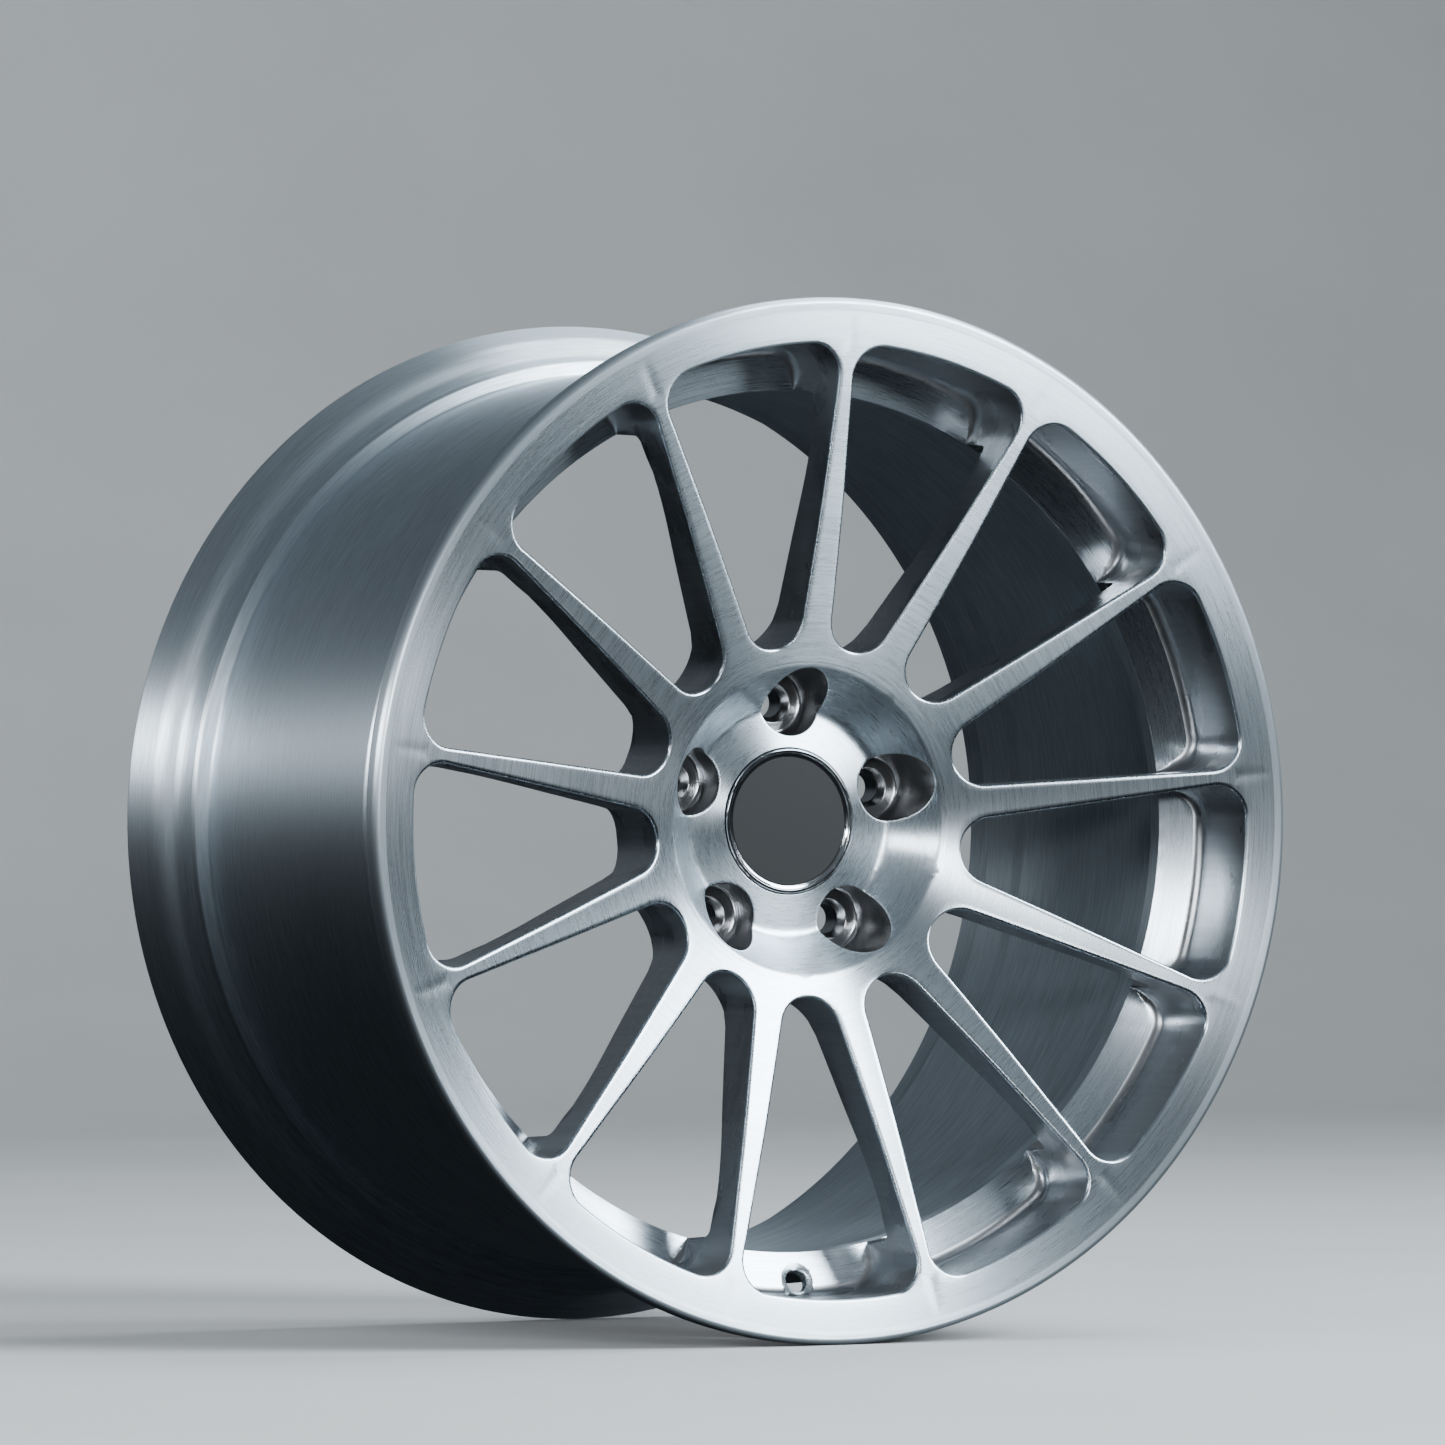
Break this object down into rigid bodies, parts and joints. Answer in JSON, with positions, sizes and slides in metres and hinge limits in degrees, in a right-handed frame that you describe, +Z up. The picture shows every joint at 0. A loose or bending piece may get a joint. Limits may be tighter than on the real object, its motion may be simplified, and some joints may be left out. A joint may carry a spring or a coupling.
{
  "type": "wheel rim",
  "caption": "One-piece forged racing wheel with slim straight spokes, a dished hub and a snap-in centre cap.",
  "frame": {"origin": "on the wheel's axis, halfway between the outer face and the rear flange", "axes": "+Y along the axis from the outer face to the car, +Z up with the wheel standing upright"},
  "size_m": [0.522, 0.2836, 0.522],
  "materials": {
    "forged_aluminium": "bare turned and milled forging with a fine circular grain",
    "bright_trim": "bright polished",
    "cap_face": "satin dark grey",
    "cap_plastic": "moulded, fine grain",
    "spring_steel": "drawn wire"
  },
  "bodies": {
    "wheel": {"hub_centre": "forged_aluminium", "spoke_01": "forged_aluminium", "spoke_02": "forged_aluminium", "spoke_03": "forged_aluminium", "spoke_04": "forged_aluminium", "spoke_05": "forged_aluminium", "spoke_06": "forged_aluminium", "spoke_07": "forged_aluminium", "spoke_08": "forged_aluminium", "spoke_09": "forged_aluminium", "spoke_10": "forged_aluminium", "spoke_11": "forged_aluminium", "spoke_12": "forged_aluminium", "spoke_13": "forged_aluminium", "face_ring": "forged_aluminium", "front_bead_seat": "forged_aluminium", "drop_centre": "forged_aluminium", "barrel": "forged_aluminium", "rear_flange": "forged_aluminium"},
    "cap": {"cap_body": "cap_plastic", "cap_trim_ring": "bright_trim", "cap_face": "cap_face", "cap_spring_ring": "spring_steel"}
  },
  "joints": [
    {"name": "cap_pull", "type": "slide", "parent": "wheel", "child": "cap", "axis": [0, -1, 0], "range_m": [0, 0.025]}
  ]
}
